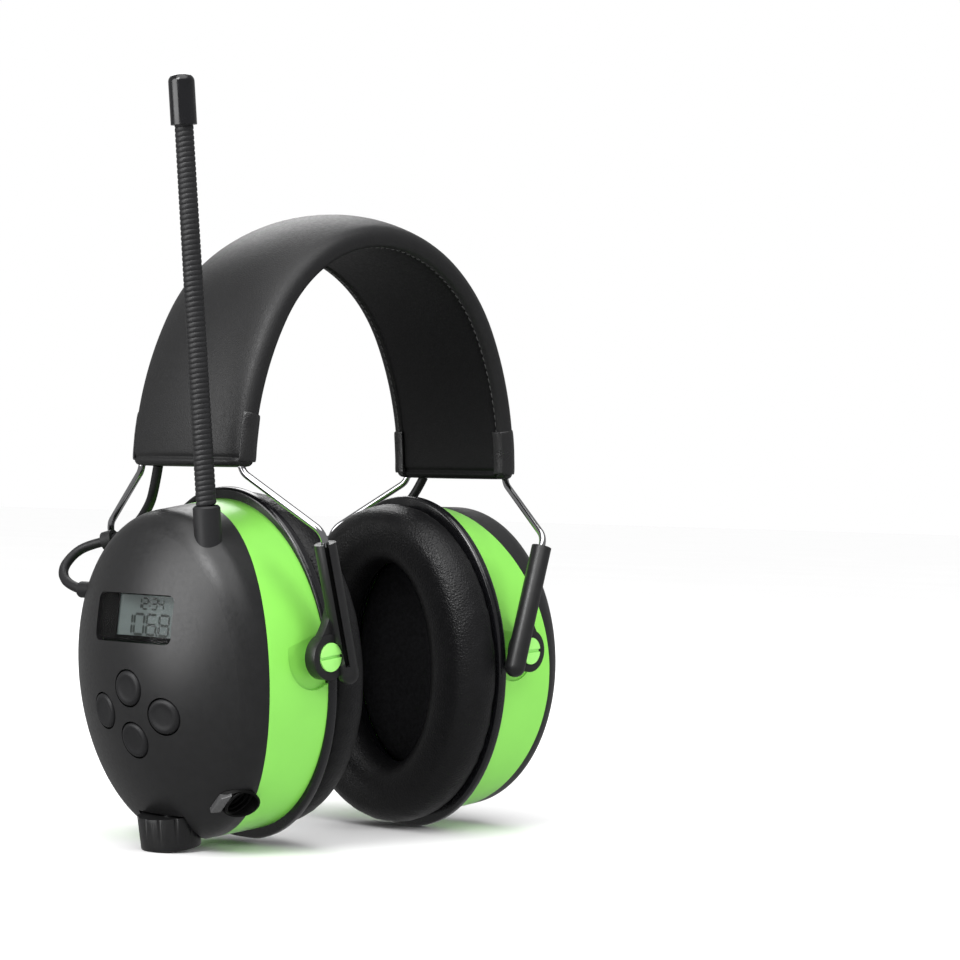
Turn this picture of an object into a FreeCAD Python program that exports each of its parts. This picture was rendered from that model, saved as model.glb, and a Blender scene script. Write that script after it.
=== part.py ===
import FreeCAD, Part
import math
import os

V = FreeCAD.Vector
X_AXIS, Y_AXIS, Z_AXIS = V(1, 0, 0), V(0, 1, 0), V(0, 0, 1)

# An ear muff with a radio. +Z is up, X runs from ear to ear with the radio cup at -X, and -Y is the
# front. The origin lies on the table, midway between the cups. Every cup is drawn in a frame of its
# own: x points away from the head, and the frame's origin is the middle of the cup's pivot axis.

# Driving dimensions, in millimetres and degrees
PIN_X = 46.0             # pivot axis to the middle plane
PIN_Z = 60.2             # pivot axis above the table
LEFT_TILT = 7.0          # how far each cup's top leans outwards at rest
RIGHT_TILT = -3.0
CUP_Z = -5.6             # middle of a cup below its pivot axis
OVAL = 1.255             # height of a cup over its width
FIT = 0.05               # running clearance of a shaft, on the radius

FLANGE_X, FLANGE_T = -8.5, 3.5
FLANGE_HALF_W, FLANGE_HALF_H = 42.0, 54.9
FLANGE_FLAT_Z = -59.84    # flat foot of the flange
SHELL_X, SHOULDER_X, APEX_X = -5.0, 18.0, 38.0
SHELL_R, RIM_R, SHOULDER_R = 41.0, 40.2, 11.0
WALL = 2.3
PARTING_X, PARTING_Z, PARTING_R = 18.5, -14.0, 150.0
PARTITION_X, PARTITION_T = 5.5, 2.0
OPENING_HALF_W, OPENING_HALF_H = 24.0, 36.0
CUSHION_FACE_X = -23.6
CUSHION_HALF_W, CUSHION_HALF_H, CUSHION_ROUND = 42.6, 52.6, 6.4
EAR_HALF_W, EAR_HALF_H = 20.5, 33.0

ARM_IN_Y, ARM_T = 43.6, 4.0
EYE_R, PIN_R, PIN_HEAD_R, PIN_HEAD_T = 6.8, 2.5, 4.3, 1.3
LEG_LEAN = 16.7          # the legs lean inwards towards the floor
LEG_X = 39.8             # leg axis at the height of the pivot
LEG_Y = 47.6
TUBE_R, TUBE_TOP, TUBE_BOTTOM = 3.25, 33.6, -5.0
WIRE_R = 1.1
SLOT_W, SLOT_TURN = 1.3, 40.0

BAND_X, BAND_END_Z, BAND_TOP_Z = 60.5, 115.5, 190.5
SIDE_R = 95.0
BAND_HALF_W, BAND_IN = 25.0, 3.8
BAND_EDGE, BAND_END_CROWN, BAND_TOP_CROWN = 2.8, 4.8, 8.0
SKIN = 1.2
WIRE_Y = 22.0
CORD_Y = 14.6
FOAM_HALF_W = 20.6
WIRE_BEND_R, EXIT_BEND_R = 6.0, 5.0

BUTTON_R, BUTTON_HOLE_R, BUTTON_PROUD = 5.35, 5.75, 0.6
BUTTON_Z, BUTTON_DY, BUTTON_DZ = -14.5, 13.0, 7.9
BUTTON_FOOT_X = 30.2
LENS_Z, LENS_W, LENS_H, LENS_LEAN = 14.3, 33.0, 14.4, 12.0
BOARD_X, BOARD_T = 25.4, 1.6
KNOB_X, KNOB_R, KNOB_TOP_Z = 24.6, 9.6, -46.8
POCKET_GAP, POCKET_ROOF = 1.0, 2.0
SHAFT_R = 1.5
ANTENNA_X, ANTENNA_Y = 20.0, -19.4
COLLAR_R, COLLAR_LOW_Z, COLLAR_TOP_Z, ROD_R = 4.1, 33.5, 46.4, 3.0
ROD_LENGTH, CAP_R, CAP_LENGTH = 120.6, 3.85, 14.6
AUX_X, AUX_Y, AUX_Z = 21.0, -28.0, -42.0
AUX_POCKET_R, AUX_DEPTH, JACK_R, JACK_LENGTH, JACK_BORE_R = 5.4, 6.5, 3.9, 13.0, 1.8
LOW_SCREW, HIGH_SCREW = (26.0, -20.0), (22.0, 28.0)
DOOR_HALF_W, DOOR_HALF_H, DOOR_GAP = 16.5, 27.0, 0.4
CELL_R, CELL_LENGTH = 7.25, 50.5
CORD_R = 1.55
CLIP_R = 3.1

# Routes of the cords. The lower one starts in the cup's frame, and the rest is in the frame of one
# side, where x is measured outwards from the middle plane
GROMMET = (22.2, 34.4, 19.4)
CORD_EXIT = [(22.2, 36.4, 19.4), (22.2, 43.6, 20.4)]
LOWER_CORD = [(67.8, 50.2, 82.2), (61.2, 52.4, 87.4), (57.4, 49.6, 90.3), (54.7, 44.1, 91.8)]
UPPER_CORD = [(54.3, 43.3, 92.0), (53.5, 37.4, 93.8), (53.6, 31.0, 97.6), (55.4, 24.4, 102.6),
              (58.8, 18.2, 107.4), (60.5, 14.6, 115.9)]


def export(name, shape):
    if not shape.isValid() or not shape.Solids:
        raise ValueError(name + " isn't a valid solid")
    shape.exportStep("parts/" + name + ".step")


def fuse(shapes):
    return shapes[0].fuse(shapes[1:]).removeSplitter()


def box(low, high):
    size = V(*high) - V(*low)
    return Part.makeBox(size.x, size.y, size.z, V(*low))


def cylinder(radius, start, end):
    axis = V(*end) - V(*start)
    return Part.makeCylinder(radius, axis.Length, V(*start), axis)


def oval_prism(half_w, half_h, low_x, high_x):
    """An elliptical prism along x, centred on a cup."""
    ellipse = Part.Ellipse(V(0, 0, 0), half_h, half_w).toShape()
    face = Part.Face(Part.Wire([ellipse]))
    face.rotate(V(0, 0, 0), Y_AXIS, -90)
    face.translate(V(low_x, 0, CUP_Z))
    return face.extrude(V(high_x - low_x, 0, 0))


def on_cup(shape, side):
    """Moves a shape from a cup's frame to its place: side is 1 at the right and -1 at the left."""
    placed = shape.copy()
    placed.rotate(V(0, 0, 0), Y_AXIS, RIGHT_TILT if side > 0 else LEFT_TILT)
    placed.translate(V(PIN_X, 0, PIN_Z))
    return on_side(placed, side)


def cup_point(x, y, z, side):
    """Takes a point of a cup's frame to the frame of one side."""
    tilt = math.radians(RIGHT_TILT if side > 0 else LEFT_TILT)
    return (PIN_X + x * math.cos(tilt) + z * math.sin(tilt), y,
            PIN_Z - x * math.sin(tilt) + z * math.cos(tilt))


def on_side(shape, side):
    return shape if side > 0 else shape.mirror(V(0, 0, 0), X_AXIS)


# Rounded paths, for wires and cords

def rounded_path(points, radii):
    """Straight runs joined by tangent arcs, one radius for each inner point."""
    edges = []
    start = V(*points[0])
    for before, corner, after, radius in zip(points, points[1:], points[2:], radii):
        corner = V(*corner)
        back = (V(*before) - corner).normalize()
        ahead = (V(*after) - corner).normalize()
        half_turn = (math.pi - back.getAngle(ahead)) / 2
        reach = radius * math.tan(half_turn)
        middle = (back + ahead).normalize()
        arc_in = corner + back * reach
        arc_out = corner + ahead * reach
        arc_mid = corner + middle * (radius / math.cos(half_turn) - radius)
        if (arc_in - start).Length > 1e-4:
            edges.append(Part.LineSegment(start, arc_in).toShape())
        edges.append(Part.Arc(arc_in, arc_mid, arc_out).toShape())
        start = arc_out
    if (V(*points[-1]) - start).Length > 1e-4:
        edges.append(Part.LineSegment(start, V(*points[-1])).toShape())
    return Part.Wire(edges)


def tube_along(path, radius):
    start = path.Edges[0].valueAt(path.Edges[0].FirstParameter)
    heading = path.Edges[0].tangentAt(path.Edges[0].FirstParameter)
    ring = Part.Wire([Part.Circle(start, heading, radius).toShape()])
    return path.makePipeShell([ring], True, False)


def cord(name, points):
    radii = []
    for before, corner, after in zip(points, points[1:], points[2:]):
        back, ahead = V(*before) - V(*corner), V(*after) - V(*corner)
        half_turn = (math.pi - back.getAngle(ahead)) / 2
        radii.append(0.45 * min(back.Length, ahead.Length) / math.tan(half_turn))
    path = rounded_path(points, radii)
    solid = tube_along(path, CORD_R)
    section = math.pi * CORD_R ** 2
    print(name, "radii", [round(r, 1) for r in radii], "length", round(path.Length, 1),
          "volume ratio", round(solid.Volume / section / path.Length, 4))
    return solid


# The outside of a cup: a barrel that closes in a dome, drawn round and then stretched to an oval

def cup_solid(inset, x_start=SHELL_X):
    slope = (RIM_R - SHELL_R) / (SHOULDER_X - SHELL_X)
    inward = V(slope, -1, 0).normalize()
    rim = V(SHOULDER_X, RIM_R - inset, 0)
    start = V(x_start, rim.y + slope * (x_start - rim.x), 0)
    bend = SHOULDER_R - inset / 2
    bend_centre = rim + inward * bend
    apex = APEX_X - inset
    lead = bend_centre.x - apex
    crown = (bend ** 2 - lead ** 2 - bend_centre.y ** 2) / (2 * (lead + bend))
    crown_centre = V(apex - crown, 0, 0)
    meet = crown_centre + (bend_centre - crown_centre).normalize() * crown
    bend_mid = bend_centre + ((rim - bend_centre) + (meet - bend_centre)).normalize() * bend
    half = math.atan2(meet.y, meet.x - crown_centre.x) / 2
    crown_mid = crown_centre + V(math.cos(half), math.sin(half), 0) * crown
    edges = [Part.LineSegment(V(x_start, 0, 0), start).toShape(),
             Part.LineSegment(start, rim).toShape(),
             Part.Arc(rim, bend_mid, meet).toShape(),
             Part.Arc(meet, crown_mid, V(apex, 0, 0)).toShape(),
             Part.LineSegment(V(apex, 0, 0), V(x_start, 0, 0)).toShape()]
    round_cup = Part.Face(Part.Wire(edges)).revolve(V(0, 0, 0), X_AXIS, 360)
    stretch = FreeCAD.Matrix()
    stretch.scale(1, 1, OVAL)
    oval = round_cup.transformGeometry(stretch)
    oval.translate(V(0, 0, CUP_Z))
    return Part.Solid(oval.Shells[0]) if not oval.Solids else oval


def dome_x(y, z, inset=0.0):
    """How far out the dome's crown lies over a point of the cup."""
    slope = (RIM_R - SHELL_R) / (SHOULDER_X - SHELL_X)
    inward = V(slope, -1, 0).normalize()
    bend = SHOULDER_R - inset / 2
    centre = V(SHOULDER_X, RIM_R - inset, 0) + inward * bend
    lead = centre.x - (APEX_X - inset)
    crown = (bend ** 2 - lead ** 2 - centre.y ** 2) / (2 * (lead + bend))
    radius = math.hypot(y, (z - CUP_Z) / OVAL)
    return APEX_X - inset - crown + math.sqrt(crown ** 2 - radius ** 2)


OUTER = cup_solid(0.0)
INNER = cup_solid(WALL, SHELL_X - 1)
MID_WALL = cup_solid(WALL / 2)


def parting(offset=0.0):
    """The green shell lies inside this barrel, and the black cover outside it."""
    centre = PARTING_X - PARTING_R
    return cylinder(PARTING_R + offset, (centre, -60, PARTING_Z), (centre, 60, PARTING_Z))


def screw_places():
    return [(s * y, CUP_Z + z) for s in (-1, 1) for y, z in (LOW_SCREW, HIGH_SCREW)]


# The pieces of every cup

def shell(side):
    wall = OUTER.cut(INNER)
    partition = oval_prism(SHELL_R, FLANGE_HALF_H, PARTITION_X, PARTITION_X + PARTITION_T).common(MID_WALL)
    bosses = [cylinder(PIN_R + 2.6, (0, s * 33.0, 0), (0, s * 40.4, 0)) for s in (-1, 1)]
    body = fuse([wall, partition] + bosses).common(parting())
    for s in (-1, 1):
        recess_floor = ARM_IN_Y - 3.8
        body = body.cut(cylinder(EYE_R + 3.4, (0, s * recess_floor, 0), (0, s * 50, 0)))
        channel = box((-6.5, min(s * recess_floor, s * 50), 0), (7.0, max(s * recess_floor, s * 50), 60))
        channel.rotate(V(0, 0, 0), Y_AXIS, 12)
        body = body.cut(channel)
        body = body.cut(cylinder(PIN_R, (0, s * 34.5, 0), (0, s * 50, 0)))
    for y, z in screw_places():
        body = body.cut(cylinder(1.5, (PARTITION_X - 1, y, z), (PARTITION_X + PARTITION_T + 1, y, z)))
    return body.cut(cylinder(2.0, (PARTITION_X - 1, 0, 24), (PARTITION_X + PARTITION_T + 1, 0, 24)))


def bare_cover():
    """The domed cover's wall, with its four screw posts and the hole of the cord's grommet."""
    barrel = parting(FIT).common(box((-200, -60, -80), (SHOULDER_X + 5, 60, 80)))
    posts = [cylinder(3.0, (PARTITION_X + PARTITION_T, y, z), (APEX_X, y, z)).common(MID_WALL)
             for y, z in screw_places()]
    body = OUTER.cut(INNER).cut(barrel).fuse(posts)
    for y, z in screw_places():
        body = body.cut(cylinder(1.0, (PARTITION_X, y, z), (PARTITION_X + 14, y, z)))
    return body.cut(cylinder(2.6, (GROMMET[0], 20, GROMMET[2]), (GROMMET[0], 60, GROMMET[2])))


def flange():
    plate = oval_prism(FLANGE_HALF_W, FLANGE_HALF_H, FLANGE_X, FLANGE_X + FLANGE_T)
    plate = plate.cut(oval_prism(OPENING_HALF_W, OPENING_HALF_H, FLANGE_X - 1, SHELL_X + 1))
    rim_edges = [e for e in plate.Edges if e.BoundBox.ZLength > 2 * FLANGE_HALF_H - 1]
    plate = plate.makeFillet(1.1, rim_edges)
    return plate.cut(box((-20, -60, FLANGE_FLAT_Z - 5), (10, 60, FLANGE_FLAT_Z)))


def cushion():
    pad = oval_prism(CUSHION_HALF_W, CUSHION_HALF_H, CUSHION_FACE_X, FLANGE_X)
    pad = pad.makeFillet(CUSHION_ROUND, [e for e in pad.Edges if e.BoundBox.XLength < 0.1])
    hole = oval_prism(EAR_HALF_W, EAR_HALF_H, CUSHION_FACE_X - 1, FLANGE_X + 1)
    return pad.cut(hole)


def speaker():
    """A dynamic driver: a round frame with its magnet towards the partition."""
    profile = [(-1.6, 0), (-1.6, 16.5), (0.4, 20.0), (1.6, 20.0), (3.2, 12.0), (5.4, 12.0), (5.4, 0)]
    points = [V(x, r, 0) for x, r in profile]
    face = Part.Face(Part.makePolygon(points + points[:1]))
    driver = face.revolve(V(0, 0, 0), X_AXIS, 360)
    driver.translate(V(0, 0, CUP_Z))
    return driver


def speaker_ring():
    ring = cylinder(22.4, (2.2, 0, CUP_Z), (PARTITION_X, 0, CUP_Z))
    return ring.cut(cylinder(17.5, (1.0, 0, CUP_Z), (PARTITION_X + 1, 0, CUP_Z)))


def foam_insert():
    """The absorber: an oval pad with a pocket for the driver and a dish towards the ear."""
    pad = oval_prism(OPENING_HALF_W - 0.4, OPENING_HALF_H - 0.4, -6.0, PARTITION_X)
    pad = pad.cut(cylinder(22.6, (-2.4, 0, CUP_Z), (PARTITION_X + 1, 0, CUP_Z)))
    dish = oval_prism(17.0, 28.0, -7.0, -4.4)
    return pad.cut(dish)


def pivot_pin(s):
    """A slotted pin pressed into the shell's boss. The arm's eye turns on its shank."""
    head_y = ARM_IN_Y + ARM_T - 0.85
    shank = cylinder(PIN_R, (0, s * 34.5, 0), (0, s * (head_y + 0.2), 0))
    head = cylinder(PIN_HEAD_R, (0, s * head_y, 0), (0, s * (head_y + PIN_HEAD_T), 0))
    slot = box((-6, -60, -0.45), (6, 60, 0.45)).common(
        cylinder(8, (0, s * (head_y + PIN_HEAD_T - 0.7), 0), (0, s * 60, 0)))
    return fuse([shank, head]).cut(slot)


def cup_screws():
    screws = []
    for y, z in screw_places():
        shank = cylinder(1.0, (PARTITION_X, y, z), (PARTITION_X + 12, y, z))
        head = cylinder(2.3, (PARTITION_X - 1.3, y, z), (PARTITION_X, y, z))
        cross = fuse([box((PARTITION_X - 2, y - 1.3, z - 0.3), (PARTITION_X - 0.7, y + 1.3, z + 0.3)),
                      box((PARTITION_X - 2, y - 0.3, z - 1.3), (PARTITION_X - 0.7, y + 0.3, z + 1.3))])
        screws.append(fuse([shank, head]).cut(cross))
    return Part.makeCompound(screws)


def grommet():
    x, y, z = GROMMET
    sleeve = cylinder(2.55, (x, y - 5.5, z), (x, y + 2.4, z))
    collar = cylinder(3.5, (x, y - 5.5, z), (x, y - 4.2, z))
    hair = (V(*CORD_EXIT[1]) - V(*CORD_EXIT[0])).normalize() * 0.1
    seat = cylinder(CORD_R + 0.1, tuple(V(*CORD_EXIT[0]) - hair), CORD_EXIT[1])
    return fuse([sleeve, collar]).cut(bare_cover()).cut(seat)


# What only the radio cup has

def window(grow=0.0):
    half_w, half_h = LENS_W / 2 + grow, LENS_H / 2 + grow
    pane = box((-14, -half_w, -half_h), (14, half_w, half_h))
    edges = [e for e in pane.Edges if abs(e.BoundBox.XLength - 28) < 0.1]
    pane = pane.makeFillet(2.2, edges)
    pane.rotate(V(0, 0, 0), Y_AXIS, -LENS_LEAN)
    pane.translate(V(dome_x(0, LENS_Z), 0, LENS_Z))
    return pane


def button_places():
    return {"top": (0, BUTTON_Z + BUTTON_DZ), "bottom": (0, BUTTON_Z - BUTTON_DZ),
            "front": (-BUTTON_DY, BUTTON_Z), "rear": (BUTTON_DY, BUTTON_Z)}


def aux_point(depth):
    """A point on the socket's axis, at a depth below the mouth."""
    return (AUX_X, AUX_Y + 0.775 * depth, AUX_Z + 0.632 * depth)


def radio_cover():
    pocket_r = KNOB_R + POCKET_GAP
    roof_z = KNOB_TOP_Z + 0.6
    cup = cylinder(pocket_r + 1.9, (KNOB_X, 0, -75), (KNOB_X, 0, roof_z + POCKET_ROOF)).common(MID_WALL)
    cup = cup.cut(parting(FIT))
    aux_boss = cylinder(AUX_POCKET_R + 1.8, aux_point(-6), aux_point(AUX_DEPTH + 2.0)).common(MID_WALL)
    aux_boss = aux_boss.cut(parting(FIT))
    antenna_boss = cylinder(COLLAR_R + 1.6, (ANTENNA_X, ANTENNA_Y, COLLAR_LOW_Z - 3), (ANTENNA_X, ANTENNA_Y, 60))
    antenna_boss = antenna_boss.common(MID_WALL).cut(parting(FIT))
    body = bare_cover().fuse([cup, aux_boss, antenna_boss])
    body = body.cut(cylinder(pocket_r, (KNOB_X, 0, -80), (KNOB_X, 0, roof_z)))
    body = body.cut(cylinder(SHAFT_R + 0.3, (KNOB_X, 0, roof_z - 1), (KNOB_X, 0, roof_z + 4)))
    body = body.cut(cylinder(AUX_POCKET_R, aux_point(-12), aux_point(AUX_DEPTH)))
    body = body.cut(cylinder(JACK_R, aux_point(AUX_DEPTH - 1), aux_point(AUX_DEPTH + 4)))
    body = body.cut(aux_lead_in())
    body = body.cut(cylinder(COLLAR_R, (ANTENNA_X, ANTENNA_Y, COLLAR_LOW_Z), (ANTENNA_X, ANTENNA_Y, 70)))
    body = body.cut(window(0.1))
    for y, z in button_places().values():
        body = body.cut(cylinder(BUTTON_HOLE_R, (27.5, y, z), (45, y, z)))
    return body


def aux_lead_in():
    """The slanted cut that leads a plug into the socket's pocket."""
    outside = V(*aux_point(-14)) + X_AXIS * 10
    return cylinder(AUX_POCKET_R - 0.6, aux_point(AUX_DEPTH - 1.5), tuple(outside))


def display_lens():
    layer = cup_solid(0.35).cut(cup_solid(1.6, SHELL_X - 1))
    return layer.common(window())


def lcd_panel():
    panel = box((-2.2, -15.6, -6.6), (0, 15.6, 6.6))
    panel.rotate(V(0, 0, 0), Y_AXIS, -LENS_LEAN)
    panel.translate(V(dome_x(0, LENS_Z) - 4.7, 0, LENS_Z))
    return panel


def circuit_board():
    board = oval_prism(23.5, 36.0, BOARD_X, BOARD_X + BOARD_T)
    board = board.common(box((0, -40, CUP_Z - 28.5), (40, 40, CUP_Z + 34)))
    antenna_gap = cylinder(7.5, (ANTENNA_X, ANTENNA_Y, 15), (ANTENNA_X, ANTENNA_Y, 60))
    return board.cut(antenna_gap)


def tact_switches():
    switches = []
    for y, z in button_places().values():
        low_x = BOARD_X + BOARD_T
        switches.append(fuse([box((low_x, y - 2.6, z - 2.6), (low_x + 0.9, y + 2.6, z + 2.6)),
                              cylinder(1.4, (low_x + 0.9, y, z), (low_x + 1.3, y, z))]))
    return Part.makeCompound(switches)


def button_pad():
    """The rubber mat between the buttons and their switches."""
    low_x = BOARD_X + BOARD_T + 1.3
    return fuse([box((low_x, -17, BUTTON_Z - 4), (low_x + 0.6, 17, BUTTON_Z + 4)),
                 box((low_x, -4, BUTTON_Z - 12), (low_x + 0.6, 4, BUTTON_Z + 12))])


def button(y, z):
    stem = cylinder(BUTTON_R, (BUTTON_FOOT_X, y, z), (45, y, z)).common(cup_solid(-BUTTON_PROUD))
    foot = cylinder(BUTTON_R + 0.9, (BUTTON_FOOT_X, y, z), (BUTTON_FOOT_X + 1.0, y, z))
    return fuse([stem, foot])


def knob_bottom():
    """The rim of the leaning knob just meets the table."""
    lean = math.radians(LEFT_TILT)
    return -(PIN_Z - (KNOB_X + KNOB_R - 0.6) * math.sin(lean)) / math.cos(lean)


def volume_knob():
    low = knob_bottom()
    body = Part.makeCone(KNOB_R - 0.6, KNOB_R, KNOB_TOP_Z - low, V(KNOB_X, 0, low))
    for turn in range(0, 360, 30):
        x = KNOB_X + (KNOB_R + 0.25) * math.cos(math.radians(turn))
        y = (KNOB_R + 0.25) * math.sin(math.radians(turn))
        body = body.cut(cylinder(0.75, (x, y, low + 1.6), (x, y, KNOB_TOP_Z + 1)))
    return body.cut(cylinder(SHAFT_R, (KNOB_X, 0, low + 3), (KNOB_X, 0, KNOB_TOP_Z + 1)))


def pot_shaft():
    return cylinder(SHAFT_R, (KNOB_X, 0, knob_bottom() + 3), (KNOB_X, 0, KNOB_TOP_Z + 8.5))


def volume_pot():
    low = KNOB_TOP_Z + 0.6 + POCKET_ROOF
    can = cylinder(4.4, (KNOB_X, 0, low), (KNOB_X, 0, low + 7.0)).common(cup_solid(WALL + 0.3))
    return can.cut(cylinder(SHAFT_R + FIT, (KNOB_X, 0, low - 1), (KNOB_X, 0, KNOB_TOP_Z + 8.6)))


def aux_jack():
    body = cylinder(JACK_R, aux_point(AUX_DEPTH), aux_point(AUX_DEPTH + JACK_LENGTH))
    nose = cylinder(2.9, aux_point(AUX_DEPTH - 1.2), aux_point(AUX_DEPTH))
    bore = cylinder(JACK_BORE_R, aux_point(AUX_DEPTH - 2), aux_point(AUX_DEPTH + JACK_LENGTH - 1.2))
    return fuse([body, nose]).cut(bore)


def antenna_collar():
    x, y = ANTENNA_X, ANTENNA_Y
    sleeve = cylinder(COLLAR_R, (x, y, COLLAR_LOW_Z), (x, y, COLLAR_TOP_Z))
    sleeve = sleeve.makeChamfer(0.6, [e for e in sleeve.Edges if e.BoundBox.ZMin > COLLAR_TOP_Z - 0.1])
    return sleeve.cut(cylinder(ROD_R + 0.5, (x, y, COLLAR_TOP_Z - 5.0), (x, y, COLLAR_TOP_Z + 1)))


def antenna_rod():
    x, y = ANTENNA_X, ANTENNA_Y
    foot_z = COLLAR_TOP_Z - 1.0
    rod = Part.makeCone(ROD_R, ROD_R - 0.35, ROD_LENGTH, V(x, y, foot_z))
    ball = Part.makeSphere(ROD_R, V(x, y, foot_z))
    return fuse([rod, ball])


def antenna_cap():
    x, y = ANTENNA_X, ANTENNA_Y
    top_z = COLLAR_TOP_Z - 1.0 + ROD_LENGTH
    cap = cylinder(CAP_R, (x, y, top_z - 8.0), (x, y, top_z - 8.0 + CAP_LENGTH))
    cap = cap.makeFillet(2.2, [e for e in cap.Edges if e.BoundBox.ZMin > top_z])
    return cap.cut(antenna_rod())


# What only the battery cup has

def door_prism(grow=0.0):
    half_w, half_h = DOOR_HALF_W + grow, DOOR_HALF_H + grow
    block = box((24, -half_w, CUP_Z - half_h), (45, half_w, CUP_Z + half_h))
    return block.makeFillet(3.0 + grow, [e for e in block.Edges if e.BoundBox.XLength > 20])


def battery_cover():
    return bare_cover().cut(door_prism(DOOR_GAP))


def battery_door():
    skin = cup_solid(0.0).cut(cup_solid(WALL, SHELL_X - 1)).common(door_prism())
    return skin


def battery_tray():
    low_x, high_x = PARTITION_X + PARTITION_T, 25.5
    tray = box((low_x, -16.8, CUP_Z - 29.5), (high_x, 16.8, CUP_Z + 29.5))
    tray = tray.cut(box((low_x + 2.2, -15.6, CUP_Z - 28.0), (high_x + 1, 15.6, CUP_Z + 28.0)))
    return tray.common(INNER)


def cell(y, turned):
    x = PARTITION_X + PARTITION_T + 2.2 + CELL_R
    low, high = CUP_Z - CELL_LENGTH / 2, CUP_Z + CELL_LENGTH / 2
    can = cylinder(CELL_R, (x, y, low + (1.2 if turned else 0)), (x, y, high - (0 if turned else 1.2)))
    nib_z = (low, low + 1.2) if turned else (high - 1.2, high)
    return fuse([can, cylinder(2.7, (x, y, nib_z[0]), (x, y, nib_z[1]))])


def battery_cells():
    return Part.makeCompound([cell(-7.7, False), cell(7.7, True)])


def battery_contacts():
    x = PARTITION_X + PARTITION_T + 2.2 + CELL_R
    plates = []
    for sz in (-1, 1):
        for y in (-7.7, 7.7):
            z = CUP_Z + sz * 27.7
            plates.append(box((x - 5, y - 5, z - 0.3), (x + 5, y + 5, z + 0.3)))
    return Part.makeCompound(plates)


# The headband: its arch runs up a long arc at each side and over a shorter one at the top

RISE = BAND_TOP_Z - BAND_END_Z
INSET_X = SIDE_R - BAND_X
TOP_R = (SIDE_R ** 2 - INSET_X ** 2 - RISE ** 2) / (2 * (SIDE_R - RISE))
TOP_CENTRE_Z = BAND_TOP_Z - TOP_R
JOIN_ANGLE = math.atan2(TOP_CENTRE_Z - BAND_END_Z, INSET_X)


def arch_frame(angle):
    """Point and outward direction of the arch where its normal leans by this angle above the x axis."""
    if angle > math.pi / 2:
        point, out = arch_frame(math.pi - angle)
        return V(-point.x, 0, point.z), V(-out.x, 0, out.z)
    out = V(math.cos(angle), 0, math.sin(angle))
    if angle < JOIN_ANGLE:
        return V(-INSET_X, 0, BAND_END_Z) + out * SIDE_R, out
    return V(0, 0, TOP_CENTRE_Z) + out * TOP_R, out


def band_section(point, out, inset, crown):
    half_w, low, edge = BAND_HALF_W - inset, inset - BAND_IN, BAND_EDGE - inset
    top = crown - inset
    corners = [point + Y_AXIS * y + out * h for y, h in
               ((-half_w + 1.5, low), (half_w - 1.5, low), (half_w - 0.6, edge), (-half_w + 0.6, edge))]
    side_mid = point + out * ((low + edge) / 2)
    return Part.Wire([Part.LineSegment(corners[0], corners[1]).toShape(),
                      Part.Arc(corners[1], side_mid + Y_AXIS * half_w, corners[2]).toShape(),
                      Part.Arc(corners[2], point + out * top, corners[3]).toShape(),
                      Part.Arc(corners[3], side_mid - Y_AXIS * half_w, corners[0]).toShape()])


def band_solid(inset):
    sections = []
    steps = 12
    for step in range(steps + 1):
        point, out = arch_frame(math.pi * step / steps)
        crown = BAND_END_CROWN + (BAND_TOP_CROWN - BAND_END_CROWN) * math.sin(math.pi * step / steps)
        sections.append(band_section(point, out, inset, crown))
    return Part.makeLoft(sections, True, False)


def leg_point(height):
    """A point on the leg's axis, at a height above the pivot, in the frame of one side."""
    return V(LEG_X + height * math.tan(math.radians(LEG_LEAN)), 0, PIN_Z + height)


def wire_path(s):
    leg_low = leg_point(TUBE_TOP - 37.0)
    mouth = leg_point(TUBE_TOP + 3.2)
    peak_z = TOP_CENTRE_Z + TOP_R / math.sin(JOIN_ANGLE)
    side_z = BAND_END_Z + SIDE_R * math.tan(JOIN_ANGLE / 2)
    right = [(leg_low.x, s * LEG_Y, leg_low.z), (mouth.x, s * LEG_Y, mouth.z),
             (BAND_X, s * WIRE_Y, BAND_END_Z - 1.0), (BAND_X, s * WIRE_Y, side_z)]
    left = [(-x, y, z) for x, y, z in reversed(right)]
    radii = [WIRE_BEND_R, EXIT_BEND_R, SIDE_R, TOP_R, SIDE_R, EXIT_BEND_R, WIRE_BEND_R]
    return rounded_path(right + [(0, s * WIRE_Y, peak_z)] + left, radii)


def spring_wire(s, radius=WIRE_R):
    return tube_along(wire_path(s), radius)


def wire_spreader(side):
    """The stiff insert at a band end that holds the two wires apart, short of the cord."""
    x = side * (BAND_X - 1.3)
    plate = box((x - 0.9, -20.2, BAND_END_Z + 5.5), (x + 0.9, CORD_Y - 2.4, BAND_END_Z + 13.5))
    return plate.common(band_solid(SKIN + 0.15))


def headband_parts():
    """The sewn cover and the foam that fills it between the two wires."""
    hollow = band_solid(SKIN).cut(box((-90, -40, BAND_END_Z - 20), (90, 40, BAND_END_Z + SKIN)))
    cover = band_solid(0.0).cut(hollow)
    for x in (-BAND_X, BAND_X):
        for y in (-WIRE_Y, WIRE_Y):
            cover = cover.cut(cylinder(WIRE_R + 0.3, (x, y, BAND_END_Z - 3), (x, y, BAND_END_Z + 3)))
        cover = cover.cut(cylinder(CORD_R + 0.7, (x, CORD_Y, BAND_END_Z - 3), (x, CORD_Y, BAND_END_Z + 3)))
    foam = hollow.common(box((-90, -FOAM_HALF_W, 0), (90, FOAM_HALF_W, 250)))
    return cover, foam.cut([wire_spreader(-1), wire_spreader(1)])


# The sliding arms

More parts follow.
